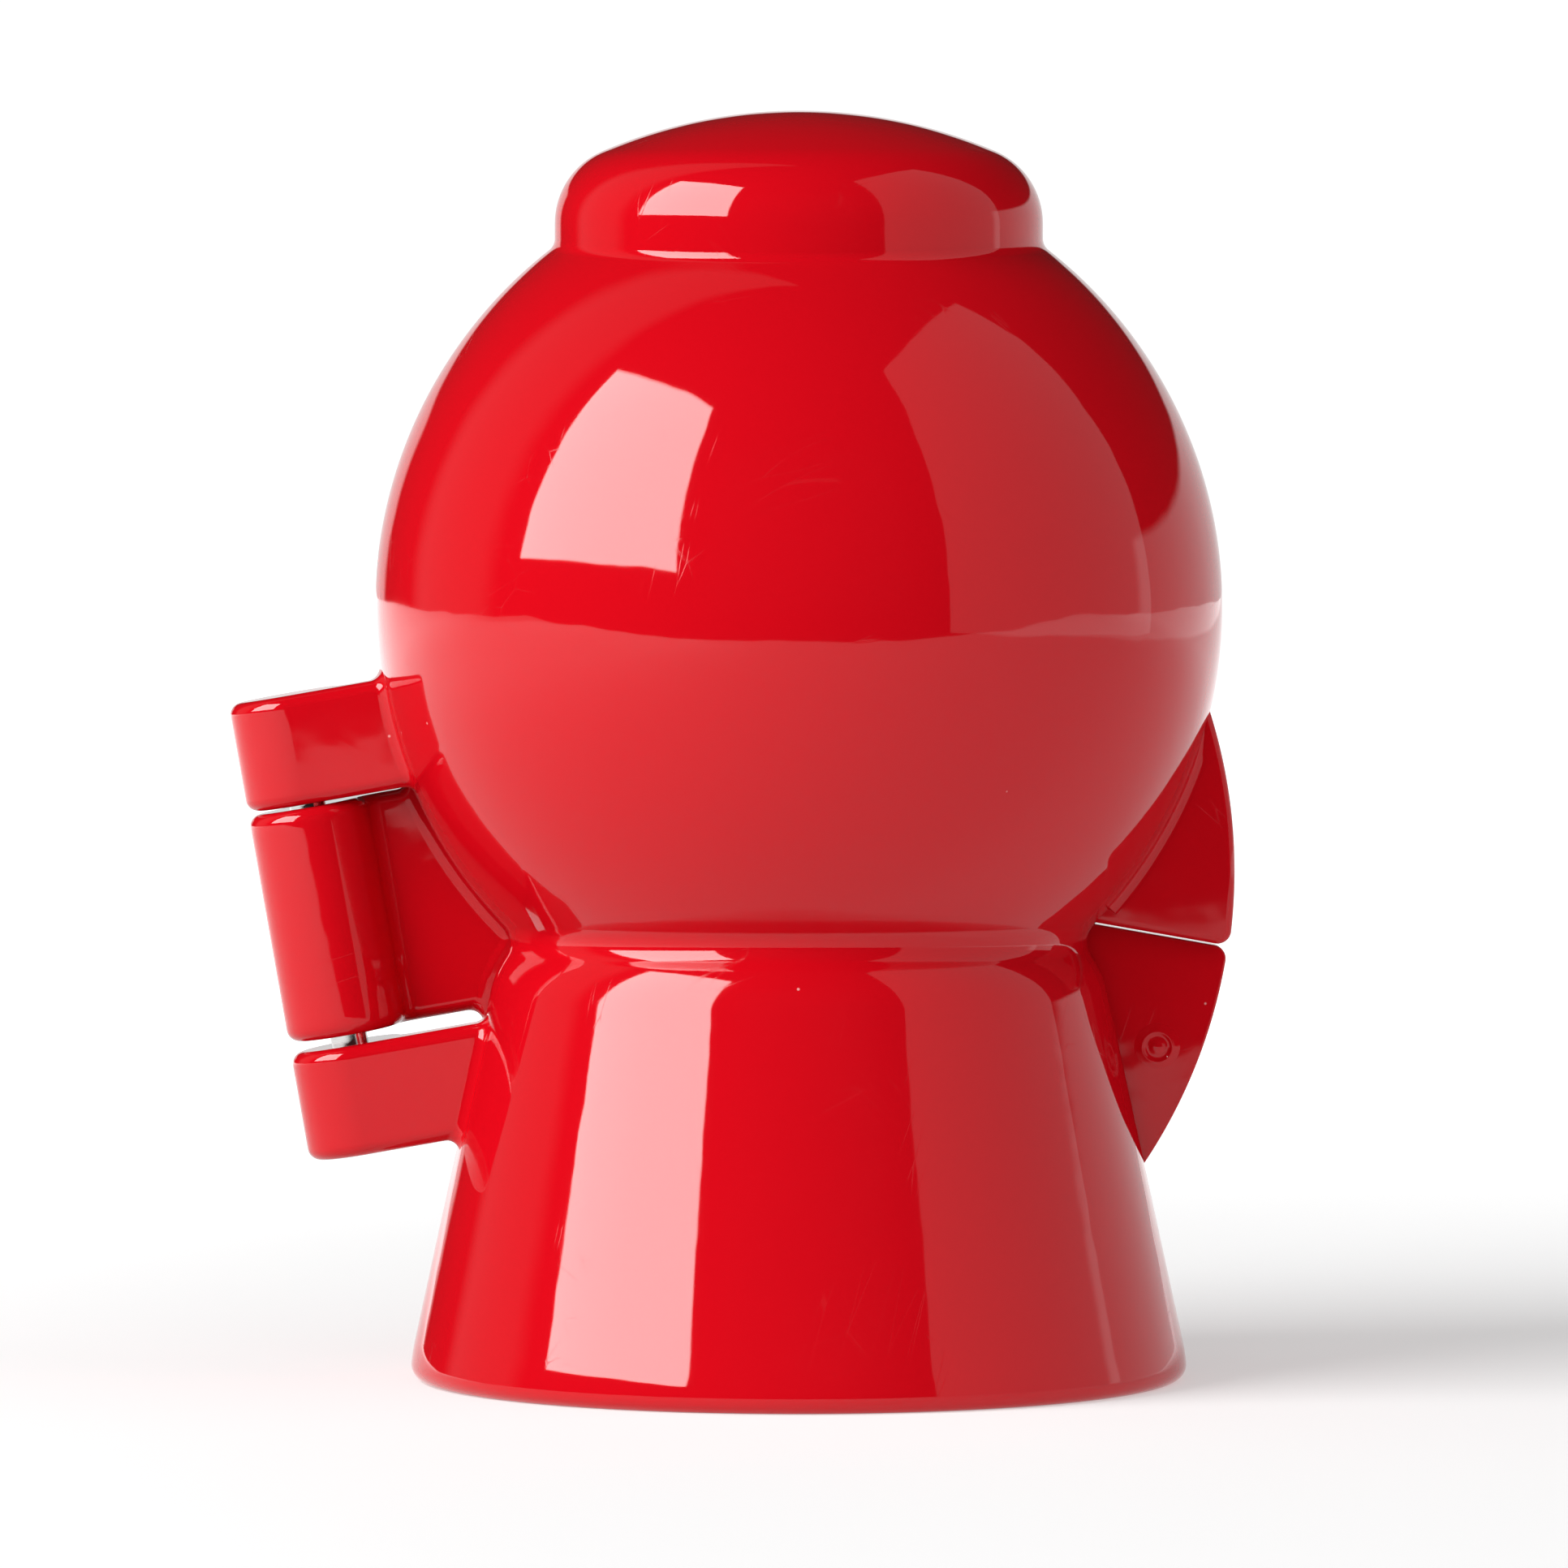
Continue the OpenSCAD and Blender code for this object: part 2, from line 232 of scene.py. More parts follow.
world = bpy.data.worlds.new("studio")
world.use_nodes = True
bpy.context.scene.world = world
background = next(n for n in world.node_tree.nodes if n.type == "BACKGROUND")
sky = Flow(world.node_tree)
direction = sky.node("ShaderNodeTexCoord")
ahead = sky.node("ShaderNodeSeparateXYZ", {}, {0: direction})
side_x = Flow(world.node_tree, ahead.socket.node.outputs[0])
side_y = Flow(world.node_tree, ahead.socket.node.outputs[1])
height = Flow(world.node_tree, ahead.socket.node.outputs[2])
bearing = sky.math("ARCTAN2", side_x, side_y) * (180 / math.pi)
behind = bearing.fade(*BACK_WALL_STARTS) * (1 - bearing.fade(*BACK_WALL_ENDS))
behind = behind * (1 - height.fade(*BACK_WALL_TOP)) * BACK_WALL_WHITE
left_wall = bearing.fade(*LEFT_WALL_STARTS) * (1 - bearing.fade(*LEFT_WALL_ENDS)) * LEFT_WALL_WHITE
below = 1 - height.fade(*UNDER_TABLE)
seen_directly = sky.node("ShaderNodeLightPath", out="Is Camera Ray")
walls = sky.math("MAXIMUM", behind, left_wall)
white = sky.math("MAXIMUM", walls, sky.math("MAXIMUM", below, seen_directly))
room = white.tint([ROOM_DIM] * 3, [ROOM_WHITE] * 3)
sky.tree.links.new(room.socket, background.inputs["Color"])


# ---- Shells: the shared body of revolution --------------------------------------------------------
# Both halves are glossy red injection mouldings of one body: a domed cap, a ball and a flared foot.
# Its side profile is a chain of arcs and three straight lines, in millimetres as (radius, height). Each
# half of the ball is set back a little to the parting plane: the ball is shallower than it is wide.

MM = 0.001
WALL = 2.5
BALL_SET_BACK = 1.6
BALL_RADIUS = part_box("rear_shell")[1].y / MM + BALL_SET_BACK
BALL_ARC_R = 42.9
BALL_Z = 72.8
CAP_R = 23.0
CROWN_R = cad_high.z / MM - BALL_Z
CAP_EDGE_R = 7.4
CREASE_R = 1.4
WAIST_R = 2.3
FOOT_R = 37.1
TAPER = math.radians(12.3)
SHOULDER_Z = 36.8
SHOULDER_R = 9.2
FOOT_EDGE_R = 1.4
FOOT_BAND_Z = 3.6
FOOT_BAND_R = 20.0
HALF_GAP = 0.1
RIM_R = 0.2
SHARP_FROM = math.radians(40)
TURN_STEPS = 120
RIM_STRETCH = 30

SIDE_NORMAL = Vector((math.cos(TAPER), math.sin(TAPER)))


def foot_radius(z, inset):
    return FOOT_R - inset / math.cos(TAPER) - z * math.tan(TAPER)


def angle_to(start, end):
    return math.atan2(end[1] - start[1], end[0] - start[0])


def arc(centre, radius, start, end, steps):
    """Points on an arc, both ends included."""
    angles = [start + (end - start) * i / steps for i in range(steps + 1)]
    return [Vector((centre[0] + radius * math.cos(a), centre[1] + radius * math.sin(a))) for a in angles]


def line(start, end, steps):
    """Points on a straight line between its ends, closer together near them for even shading."""
    eased = [(1 - math.cos(math.pi * i / steps)) / 2 for i in range(1, steps)]
    return [Vector(start).lerp(Vector(end), t) for t in eased]


SHOULDER_C = Vector((foot_radius(SHOULDER_Z, 0), SHOULDER_Z)) - SHOULDER_R * SIDE_NORMAL
CAP_EDGE_X = CAP_R - CAP_EDGE_R
CAP_EDGE_C = Vector((CAP_EDGE_X, BALL_Z + math.sqrt((CROWN_R - CAP_EDGE_R) ** 2 - CAP_EDGE_X ** 2)))
BALL_C = Vector((BALL_RADIUS - BALL_ARC_R, BALL_Z))


def circles_meet(c1, r1, c2, r2):
    """The crossing of two circles that lies further from the body's axis."""
    gap = (c2 - c1).length
    along = (r1 ** 2 - r2 ** 2 + gap ** 2) / (2 * gap)
    out = math.sqrt(r1 ** 2 - along ** 2)
    unit = (c2 - c1) / gap
    normal = Vector((unit.y, -unit.x))
    return max((c1 + unit * along + normal * s * out for s in (-1, 1)), key=lambda p: p.x)


def body_profile(inset, set_back=0.0):
    """The side profile from the middle of the floor to the top of the crown, moved inwards by inset,
    where the ball stands back by set_back. The foot's side steepens just above its rounded bottom
    edge, and fillets soften the ball's creases with the foot and the cap."""
    ball_c = BALL_C - Vector((set_back, 0))
    waist_c = circles_meet(SHOULDER_C, SHOULDER_R + WAIST_R, ball_c, BALL_ARC_R + WAIST_R)
    crease_x = CAP_R + CREASE_R
    crease_up = math.sqrt((BALL_ARC_R + CREASE_R) ** 2 - (crease_x - ball_c.x) ** 2)
    crease_c = Vector((crease_x, BALL_Z + crease_up))
    band_top = Vector((foot_radius(inset + FOOT_BAND_Z, inset), inset + FOOT_BAND_Z))
    band_c = band_top - FOOT_BAND_R * SIDE_NORMAL
    edge_drop = FOOT_EDGE_R - FOOT_BAND_Z + FOOT_BAND_R * SIDE_NORMAL.y
    edge_turn = math.asin(edge_drop / (FOOT_BAND_R - FOOT_EDGE_R))
    edge_c = band_c + (FOOT_BAND_R - FOOT_EDGE_R) * Vector((math.cos(edge_turn), math.sin(edge_turn)))
    shoulder_end = angle_to(SHOULDER_C, waist_c)
    ball_start, ball_end = angle_to(ball_c, waist_c), angle_to(ball_c, crease_c)
    crown_start = angle_to((0, BALL_Z), CAP_EDGE_C)
    floor_end = Vector((edge_c.x, inset))
    cone = [band_top, SHOULDER_C + (SHOULDER_R - inset) * SIDE_NORMAL]
    cap_side = [Vector((CAP_R - inset, crease_c.y)), Vector((CAP_R - inset, CAP_EDGE_C.y))]
    points = [Vector((0, inset))] + line((0, inset), floor_end, 10)
    points += arc(edge_c, FOOT_EDGE_R, -math.pi / 2, edge_turn, 10)[:-1]
    points += arc(band_c, FOOT_BAND_R, edge_turn, TAPER, 6)
    points += line(*cone, 24)
    points += arc(SHOULDER_C, SHOULDER_R - inset, TAPER, shoulder_end, 12)[:-1]
    points += arc(waist_c, WAIST_R + inset, shoulder_end + math.pi, ball_start + math.pi, 10)[:-1]
    points += arc(ball_c, BALL_ARC_R - inset, ball_start, ball_end, 84)[:-1]
    points += arc(crease_c, CREASE_R + inset, ball_end + math.pi, math.pi, 10)
    points += line(*cap_side, 6)
    points += arc(CAP_EDGE_C, CAP_EDGE_R - inset, 0, crown_start, 16)[:-1]
    points += arc((0, BALL_Z), CROWN_R - inset, crown_start, math.pi / 2, 28)
    return points


def closed_loop(bm, points):
    """New edges through points and back to the first one."""
    verts = [bm.verts.new(p) for p in points]
    return [bm.edges.new(pair) for pair in zip(verts, verts[1:] + verts[:1])]


def half_wall(bm, side, inset, rounding):
    """The outer or inner wall of one half, spun from its profile, up to its rounded edge at the parting
    plane. Each turn of the spin then gets its own profile, with the ball set back by the sine of the
    turn. Squeezing the half very slightly makes up for its shift from the parting plane."""
    others = set(bm.verts)
    station = bm.verts.layers.int.verify()
    verts = [bm.verts.new((p.x, 0, p.y)) for p in body_profile(inset)]
    for index, vert in enumerate(verts):
        vert[station] = index
    edges = [bm.edges.new(pair) for pair in zip(verts, verts[1:])]
    bmesh.ops.spin(bm, geom=verts + edges, cent=(0, 0, 0), axis=(0, 0, 1), angle=side * math.pi,
                   steps=TURN_STEPS, use_merge=False, use_duplicate=False)
    bmesh.ops.remove_doubles(bm, verts=[v for v in bm.verts if v not in others], dist=1e-4)
    shift = HALF_GAP + RIM_R
    squeeze = 1 - shift / (BALL_RADIUS - BALL_SET_BACK)
    turns = [math.pi * i / TURN_STEPS for i in range(TURN_STEPS + 1)]
    profiles = [body_profile(inset, BALL_SET_BACK * math.sin(turn)) for turn in turns]
    for vert in bm.verts:
        if vert not in others:
            turn = abs(math.atan2(vert.co.y, vert.co.x))
            point = profiles[round(turn / math.pi * TURN_STEPS)][vert[station]]
            depth = shift + point.x * math.sin(turn) * squeeze
            vert.co = (point.x * math.cos(turn), side * depth, point.y)
    rim = [e for e in bm.edges if e.is_boundary and e.verts[0] not in others]
    for turn in (math.pi / 6, math.pi / 3, math.pi / 2):
        half = body_profile(inset + rounding * (1 - math.cos(turn)))
        around = [(p.x, p.y) for p in half] + [(-p.x, p.y) for p in reversed(half[1:-1])]
        depth = HALF_GAP + RIM_R * (1 - math.sin(turn))
        loop = closed_loop(bm, [(x, side * depth, z) for x, z in around])
        bmesh.ops.bridge_loops(bm, edges=rim + loop)
        rim = loop
    return rim


def half_body(side):
    """One half of the hollow body: its outer and inner walls, joined by the flat rim at the parting
    plane, a stretch at a time so that the rim's faces stay square to it."""
    bm = bmesh.new()
    outer = half_wall(bm, side, 0, RIM_R)
    inner = half_wall(bm, side, WALL, -RIM_R)
    for start in range(0, len(outer), RIM_STRETCH):
        stretch = slice(start, start + RIM_STRETCH)
        bmesh.ops.bridge_loops(bm, edges=outer[stretch] + inner[stretch])
    bm.verts.layers.int.remove(bm.verts.layers.int.verify())
    bmesh.ops.recalc_face_normals(bm, faces=bm.faces)
    return bm


def join(bm, part, matrix=Matrix()):
    """Adds a moulded-on part, made in its own bmesh, and frees that bmesh."""
    bmesh.ops.transform(part, matrix=matrix, verts=part.verts)
    bmesh.ops.recalc_face_normals(part, faces=part.faces)
    carrier = bpy.data.meshes.new("carrier")
    part.to_mesh(carrier)
    part.free()
    bm.from_mesh(carrier)
    bpy.data.meshes.remove(carrier)


def body_distance(point):
    """Distance of a point from the body's outer surface, negative inside."""
    flat = Vector((math.hypot(point.x, point.y), point.z))
    ball_flat = Vector((math.hypot(point.x, abs(point.y) + BALL_SET_BACK), point.z))
    ball = (ball_flat - BALL_C).length - BALL_ARC_R
    cone = (flat - Vector((FOOT_R, 0))).dot(SIDE_NORMAL)
    shoulder = (flat - SHOULDER_C).length - SHOULDER_R
    along_side = (flat - SHOULDER_C).dot(Vector((-SIDE_NORMAL.y, SIDE_NORMAL.x)))
    return min(ball, shoulder if along_side > 0 else cone)


def body_normal(point):
    """The outward direction of the body's surface nearest to a point, evened out across the waist."""
    step = 0.5
    grades = [body_distance(point + axis * step) - body_distance(point - axis * step)
              for axis in (Vector((1, 0, 0)), Vector((0, 1, 0)), Vector((0, 0, 1)))]
    return Vector(grades).normalized()


def furthest(low, high, fits):
    """The largest value between low and high that still fits, found by halving."""
    for _ in range(40):
        middle = (low + high) / 2
        if fits(middle):
            low = middle
        else:
            high = middle
    return low


def reach_body(point, heading, radius, most):
    """How far a ball of this radius goes from point along heading before it touches the body."""
    return furthest(0.0, most, lambda run: body_distance(point + heading * run) > radius)


def turn_between(a, b, t):
    """A direction that turns from a at 0 to b at 1, and as far again beyond."""
    angle = a.angle(b)
    if angle < 1e-4:
        return b.copy()
    return (a * math.sin((1 - t) * angle) + b * math.sin(t * angle)) / math.sin(angle)


def finish_piece(name, bm, material, body, node):
    """The bmesh, in millimetres, as a finished object in metres that rides on a body and stands for a
    CAD node."""
    bmesh.ops.scale(bm, verts=bm.verts, vec=(MM, MM, MM))
    mesh = bpy.data.meshes.new(name)
    bm.to_mesh(mesh)
    bm.free()
    mesh.materials.append(material)
    mesh.shade_smooth()
    mesh.set_sharp_from_angle(angle=SHARP_FROM)
    piece = bpy.data.objects.new(name, mesh)
    even = piece.modifiers.new("even_shading", "WEIGHTED_NORMAL")
    even.keep_sharp = True
    bpy.context.scene.collection.objects.link(piece)
    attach(piece, body)
    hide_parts(node)


# ---- Shells: hinge knuckles -----------------------------------------------------------------------
# The knuckles are moulded on: a round barrel on the pin's axis, flush with a flat arm that runs into
# the body. Their edges are rounded, and a fillet blends each arm into the ball or the foot.

hinge = frame["joints"][0]
HINGE_AXIS = -Vector(hinge["axis"]).normalized()
HINGE_ACROSS = Vector((0, 1, 0)).cross(HINGE_AXIS)
HINGE = Matrix((HINGE_ACROSS, Vector((0, 1, 0)), HINGE_AXIS)).transposed().to_4x4()
HINGE.translation = Vector(hinge["pos_m"]) / MM
BARREL_R = 5.7
ARM_EDGE_R = 1.2
ARM_FILLET_R = 1.3
ARM_START = 7.4
ROOT_STATION = 0.4
FILLET_STEPS = 8
OVERSHOOT = 0.12
SINK_STEPS = 12
SINK_START = 5.4
SINK_RUN = 2.0


def knuckle_outline(side, set_back, corner_r):
    """A knuckle and the start of its arm across the hinge axis: in along the parting face, round the
    corner fillet and the barrel, and back along the outer face."""
    corner_y = corner_r - set_back
    corner_c = Vector((math.sqrt((BARREL_R + corner_r) ** 2 - corner_y ** 2), corner_y))
    start = math.atan2(corner_c.y, corner_c.x)
    points = [Vector((ARM_START, -set_back))] + arc(corner_c, corner_r, -math.pi / 2, start - math.pi, 8)
    points += arc((0, 0), BARREL_R, start, 1.5 * math.pi, 72)[1:] + [Vector((ARM_START, -BARREL_R))]
    return [Vector((p.x, -side * p.y)) for p in points]


def moulded_knuckle(side, set_back, low, tall, corner_r, draft, sink=0.0):
    """One knuckle with its arm, blended into the body by a rolling-ball fillet round the arm's root. Its
    outer face has a little draft, in degrees, and so faces very slightly downwards, and a broad web
    has sunk by sink in the middle as the plastic cooled."""
    bm = bmesh.new()
    outline = knuckle_outline(side, set_back, corner_r)
    base = bm.faces.new([bm.verts.new((p.x, p.y, low)) for p in outline])
    raised = bmesh.ops.extrude_face_region(bm, geom=[base], use_keep_orig=True)["geom"]
    far = [v for v in raised if isinstance(v, bmesh.types.BMVert)]
    bmesh.ops.translate(bm, verts=far, vec=(0, 0, tall))
    drawn_in = math.tan(math.radians(draft)) * tall
    for vert in base.verts:
        vert.co.y -= side * drawn_in * min(side * vert.co.y / BARREL_R, 1)

    def at_start(element):
        return all(abs(v.co.x - ARM_START) < 1e-4 for v in element.verts)

    level = [e for e in bm.edges if abs(e.verts[0].co.z - e.verts[1].co.z) < 1e-4]
    bmesh.ops.bevel(bm, geom=[e for e in level if not at_start(e)], offset=ARM_EDGE_R,
                    offset_type="OFFSET", affect="EDGES", segments=6, profile=0.5, material=-1)
    for cut in range(1, SINK_STEPS if sink else 1):
        bmesh.ops.bisect_plane(bm, geom=bm.verts[:] + bm.edges[:] + bm.faces[:], dist=1e-5,
                               plane_co=(0, 0, low + tall * cut / SINK_STEPS), plane_no=(0, 0, 1))
    for vert in bm.verts:
        if side * vert.co.y < set_back + 0.02:
            reach = min(max((vert.co.x - SINK_START) / SINK_RUN, 0), 1)
            vert.co.y += side * sink * reach * (1 - ((vert.co.z - low) / tall * 2 - 1) ** 2)
    bmesh.ops.dissolve_faces(bm, faces=[f for f in bm.faces if at_start(f)])
    for edge in [e for e in bm.edges if at_start(e) and e.calc_length() > 2 * ROOT_STATION]:
        bmesh.ops.subdivide_edges(bm, edges=[edge], cuts=int(edge.calc_length() / ROOT_STATION))
    root = next(f for f in bm.faces if at_start(f))
    ring_verts = list(root.verts)
    ring = list(root.edges)
    bmesh.ops.delete(bm, geom=[root], context="FACES_ONLY")

    turn = HINGE.to_3x3()
    blends = []
    for vert in ring_verts:
        y, z = side * vert.co.y, vert.co.z
        inner_y = min(max(y, set_back + ARM_EDGE_R), BARREL_R - ARM_EDGE_R)
        inner_z = min(max(z, low + ARM_EDGE_R), low + tall - ARM_EDGE_R)
        normal = Vector((0, side * (y - inner_y), z - inner_z)).normalized()
        start = vert.co + normal * ARM_FILLET_R
        run = reach_body(HINGE @ start, HINGE_ACROSS, ARM_FILLET_R, 30)
        centre = start + Vector((run, 0, 0))
        blends.append((centre, normal, turn.transposed() @ body_normal(HINGE @ centre)))
        vert.co.x = centre.x
    for step in range(1, FILLET_STEPS + 3):
        t = min(step / FILLET_STEPS, 1 + OVERSHOOT)
        buried = WALL / 4 if step > FILLET_STEPS + 1 else 0
        points = []
        for centre, normal, towards in blends:
            point = centre - turn_between(normal, towards, t) * ARM_FILLET_R - towards * buried
            point.y = side * max(side * point.y, set_back)
            points.append(point)
        loop = closed_loop(bm, points)
        bmesh.ops.bridge_loops(bm, edges=ring + loop)
        ring = loop
    bmesh.ops.holes_fill(bm, edges=ring, sides=0)
    bmesh.ops.remove_doubles(bm, verts=bm.verts, dist=1e-4)
    return bm


# ---- Shells: thumb tabs ---------------------------------------------------------------------------
# Two flat lugs at the parting plane, the upper one on the front shell and the lower one on the rear
# shell. They share one curved outer edge, and the line between them falls outwards as the hinge leans.

TAB_T = 3.3
TAB_EDGE_R = 49.9
TAB_REACH = 41.1
TAB_EDGE_C = Vector((TAB_REACH - TAB_EDGE_R, 48.0))
TAB_SPLIT = Vector((39.8, 41.0))
TAB_SPLIT_GAP = 0.3
TAB_CORNER_R = 1.3
TAB_EDGE_BEVEL = 0.7
TAB_TOP_Z = 64.5
TAB_FOOT_Z = 19.6
TAB_ROOT_INSET = 2.2
TAB_FILLET_R = 1.0
UPPER_TAB_LEAN = math.tan(math.radians(0.35))
LOWER_TAB_LEAN = math.tan(math.radians(0.7))
UPPER_FILLET_SPAN = (44.2, 61.5)
LOWER_FILLET_SPAN = (23.0, 40.6)
SPLIT_LEAN = math.radians(10)
SPLIT_ALONG = Vector((math.cos(SPLIT_LEAN), -math.sin(SPLIT_LEAN)))
SPLIT_UP = Vector((math.sin(SPLIT_LEAN), math.cos(SPLIT_LEAN)))
ROOT_STEPS = 24


def edge_x(z):
    """How far out the tabs' common outer edge lies at a height."""
    return TAB_EDGE_C.x + math.sqrt(TAB_EDGE_R ** 2 - (z - TAB_EDGE_C.y) ** 2)


def profile_radius(z, inset):
    """Radius of the body at a height between the foot and the cap, moved inwards by inset."""
    return furthest(10.0, BALL_RADIUS + 5, lambda x: body_distance(Vector((x, 0, z))) < -inset)


def tab_lean(side, z):
    """How far a tab leans back from the viewer at a height."""
    return UPPER_TAB_LEAN * (TAB_TOP_Z - z) if side < 0 else LOWER_TAB_LEAN * (z - TAB_FOOT_Z)


def tab_outline(side):
    """A tab's outline as (x, z): its curved outer edge, the rounded corner, the split, and a root in
    the wall."""
    end_z = TAB_TOP_Z if side < 0 else TAB_FOOT_Z
    split = TAB_SPLIT - SPLIT_UP * side * TAB_SPLIT_GAP / 2
    corner_start = split - SPLIT_UP * side * TAB_CORNER_R
    away = corner_start - TAB_EDGE_C
    inner_r = TAB_EDGE_R - TAB_CORNER_R
    half_b = away.dot(SPLIT_ALONG)
    run = -half_b + math.sqrt(half_b ** 2 - away.length_squared + inner_r ** 2)
    corner_c = corner_start + SPLIT_ALONG * run
    end = Vector((edge_x(end_z), end_z))
    points = arc(TAB_EDGE_C, TAB_EDGE_R, angle_to(TAB_EDGE_C, end), angle_to(TAB_EDGE_C, corner_c), 28)
    split_turn = side * math.pi / 2 - SPLIT_LEAN
    points += arc(corner_c, TAB_CORNER_R, angle_to(TAB_EDGE_C, corner_c), split_turn, 8)[1:]
    root_z = split.y
    for _ in range(8):
        root_x = profile_radius(root_z, TAB_ROOT_INSET)
        root_z = split.y + (root_x - split.x) * SPLIT_ALONG.y / SPLIT_ALONG.x
    heights = [root_z + (end_z - root_z) * i / ROOT_STEPS for i in range(ROOT_STEPS + 1)]
    return points + [Vector((profile_radius(z, TAB_ROOT_INSET), z)) for z in heights]


def moulded_tab(side):
    """One tab as a plate between the parting plane and its outer face, with its corner and edges
    rounded. It leans back a little from its free end, as it came out of the mould."""
    bm = bmesh.new()
    outline = tab_outline(side)
    root_points = outline[-ROOT_STEPS - 1:]
    base = bm.faces.new([bm.verts.new((p.x, side * HALF_GAP, p.y)) for p in outline])
    raised = bmesh.ops.extrude_face_region(bm, geom=[base], use_keep_orig=True)["geom"]
    far = [v for v in raised if isinstance(v, bmesh.types.BMVert)]
    bmesh.ops.translate(bm, verts=far, vec=(0, side * (TAB_T - HALF_GAP), 0))

    def in_root(vert):
        return any(abs(vert.co.x - p.x) < 1e-3 and abs(vert.co.z - p.y) < 1e-3 for p in root_points)

    for plane, size in ((side * TAB_T, TAB_EDGE_BEVEL), (side * HALF_GAP, RIM_R)):
        edges = [e for e in bm.edges if all(abs(v.co.y - plane) < 1e-4 for v in e.verts)
                 and not all(in_root(v) for v in e.verts)]
        bmesh.ops.bevel(bm, geom=edges, offset=size, offset_type="OFFSET", affect="EDGES", segments=5,
                        profile=0.5, material=-1)
    for vert in bm.verts:
        vert.co.y += tab_lean(side, vert.co.z)
    return bm


def tab_fillet(side):
    """The thin fillet between a tab's outer face and the body, fading where the tab meets the ball."""
    bm = bmesh.new()
    low, high = UPPER_FILLET_SPAN if side < 0 else LOWER_FILLET_SPAN
    face_normal = Vector((0, side, 0))
    loops = []
    for station in range(31):
        z = low + (high - low) * station / 30
        room = edge_x(z) - TAB_EDGE_BEVEL - profile_radius(z, 0)
        radius = max(min(TAB_FILLET_R, 0.55 * room), 0.08)
        start = Vector((60, side * (TAB_T + radius), z))
        centre = start - Vector((reach_body(start, Vector((-1, 0, 0)), radius, 50), 0, 0))
        towards = body_normal(centre)
        turns = [-OVERSHOOT + (1 + 2 * OVERSHOOT) * i / 10 for i in range(11)]
        points = [centre - turn_between(face_normal, towards, t) * radius for t in turns]
        points.append(Vector((centre.x - 0.6 * radius, side * (TAB_T - 0.3), z)) - towards * 0.4)
        loops.append(closed_loop(bm, points))
    for pair in zip(loops, loops[1:]):
        bmesh.ops.bridge_loops(bm, edges=pair[0] + pair[1])
    bmesh.ops.holes_fill(bm, edges=loops[0] + loops[-1], sides=0)
    return bm


# ---- Shells: glossy red plastic -------------------------------------------------------------------
# Solid-coloured, mirror-polished plastic. It is very slightly wavy from the moulding, so reflections
# have soft, uneven edges, and it carries hairline scratches, a little dust and faint handling haze.

RED = (0.49, 0.0022, 0.0070)
RED_DEEP = (0.46, 0.0016, 0.0060)
SPECK = (0.75, 0.42, 0.40)
POLISH = 0.035
WAVE_HEIGHT = 0.000022
SWELL_HEIGHT = 0.00007
SCRATCH_DEPTH = 0.0000015

red_plastic, red_shader, flow = new_material("red_plastic")
place = flow.node("ShaderNodeTexCoord", out="Object")


def noise(flow, place, scale, detail=2.0, rough=0.5):
    return flow.node("ShaderNodeTexNoise", {}, {"Vector": place, "Scale": scale, "Detail": detail,
                                                "Roughness": rough})


def hairlines(flow, place, turn, scale, patch_scale, keep):
    """Thin, long scratches in one direction: stretched cells' edges, kept only here and there."""
    turned = flow.node("ShaderNodeMapping", {"vector_type": "TEXTURE"},
                       {"Vector": place, "Rotation": turn, "Scale": (1 / scale, 28 / scale, 1 / scale)})
    cells = flow.node("ShaderNodeTexVoronoi", {"feature": "DISTANCE_TO_EDGE"},
                      {"Vector": turned, "Scale": 1.0})
    patch = noise(flow, place, patch_scale, 2.0).fade(keep, keep + 0.1)
    return (1 - cells.fade(0.002, 0.012)) * patch


scratches = hairlines(flow, place, (1.4, 0.35, 0.2), 420, 83, 0.58)
scratches = scratches + hairlines(flow, place, (1.5, 1.25, 0.1), 380, 99, 0.59)
scratches = scratches + hairlines(flow, place, (1.3, -0.7, 0.3), 450, 111, 0.60)
dust = flow.node("ShaderNodeTexVoronoi", {"feature": "F1"},
                 {"Vector": place, "Scale": 260.0, "Randomness": 1.0})
dust_colour = Flow(flow.tree, dust.socket.node.outputs["Color"])
dust_pick = flow.node("ShaderNodeSeparateColor", {}, {0: dust_colour})
specks = (1 - dust.fade(0.02, 0.045)) * (dust_pick > 0.955)
haze = noise(flow, place, 45.0, 4.0, 0.6).fade(0.45, 0.75)
drift = noise(flow, place, 12.0, 1.0)
coloured = flow.node("ShaderNodeMix", {"data_type": "RGBA"},
                     {0: specks * 0.55, 6: drift.tint(RED_DEEP, RED), 7: (*SPECK, 1)}, out=2)
waves = noise(flow, place, 210.0, 1.0)
swell = noise(flow, place, 60.0, 1.0)
relief = waves * WAVE_HEIGHT + swell * SWELL_HEIGHT - scratches * SCRATCH_DEPTH
bump = flow.node("ShaderNodeBump", {}, {"Height": relief, "Distance": 1.0, "Strength": 1.0})
roughness = POLISH + haze * 0.03 + scratches * 0.12 + specks * 0.4
flow.tree.links.new(coloured.socket, red_shader.inputs["Base Color"])
flow.tree.links.new(roughness.socket, red_shader.inputs["Roughness"])
flow.tree.links.new(bump.socket, red_shader.inputs["Normal"])
red_shader.inputs["IOR"].default_value = 1.40

# ---- Shells: screw posts --------------------------------------------------------------------------
# Round posts that stand on the inside of each wall and take the screws of the wire frame and of the
# cradle. They have a chamfered screw hole and a flared foot where they leave the wall.

SLICER = Matrix.Translation((0, 0, BALL_Z)) @ HINGE.to_3x3().to_4x4()
POST_R = 3.0
POST_HOLE_R = 1.0
POST_FOOT_R = 0.8
POST_CHAMFER = 0.3


